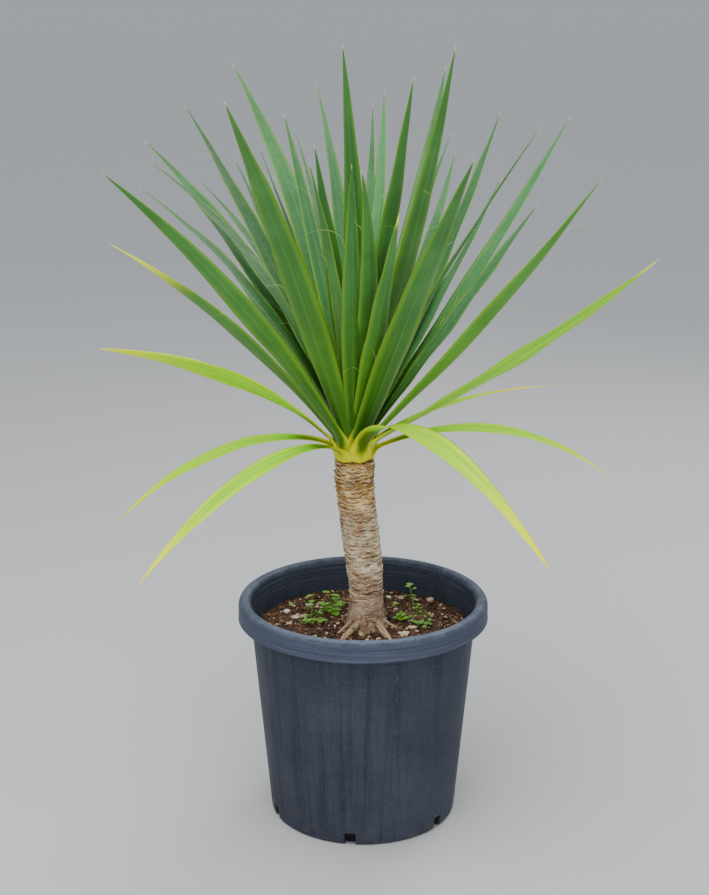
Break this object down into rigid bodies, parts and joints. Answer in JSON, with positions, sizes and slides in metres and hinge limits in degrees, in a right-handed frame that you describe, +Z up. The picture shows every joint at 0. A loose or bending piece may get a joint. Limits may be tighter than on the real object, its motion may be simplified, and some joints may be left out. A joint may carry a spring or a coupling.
{
  "type": "potted dragon tree",
  "caption": "Strap-leaved plant on a ringed woody stem in a round tapered nursery pot with a rolled rim, soil and small weeds.",
  "frame": {"origin": "centre of the pot's flat underside", "axes": "+Z up along the pot's axis, -Y towards the front of the picture's view, +X to its right"},
  "size_m": [1.0372, 1.2222, 1.534],
  "materials": {
    "pot_plastic": "satin moulded plastic, lightly scuffed",
    "potting_mix": "loose dark bark and loam",
    "bark": "rough ringed bark",
    "green_leaf": "waxy satin leaf",
    "yellowing_leaf": "soft satin leaf",
    "weed_leaf": "soft satin leaf"
  },
  "bodies": {
    "root": {"pot": "pot_plastic", "soil": "potting_mix", "trunk": "bark", "leaf_crown": "green_leaf", "yellowing_leaf_1": "yellowing_leaf", "yellowing_leaf_2": "yellowing_leaf", "yellowing_leaf_3": "yellowing_leaf", "yellowing_leaf_4": "yellowing_leaf", "yellowing_leaf_5": "yellowing_leaf", "yellowing_leaf_6": "yellowing_leaf", "weed_clump": "weed_leaf", "weed_sprig": "weed_leaf", "weed_stalk": "weed_leaf", "weed_tuft": "weed_leaf", "weed_seedling": "weed_leaf"}
  },
  "joints": []
}
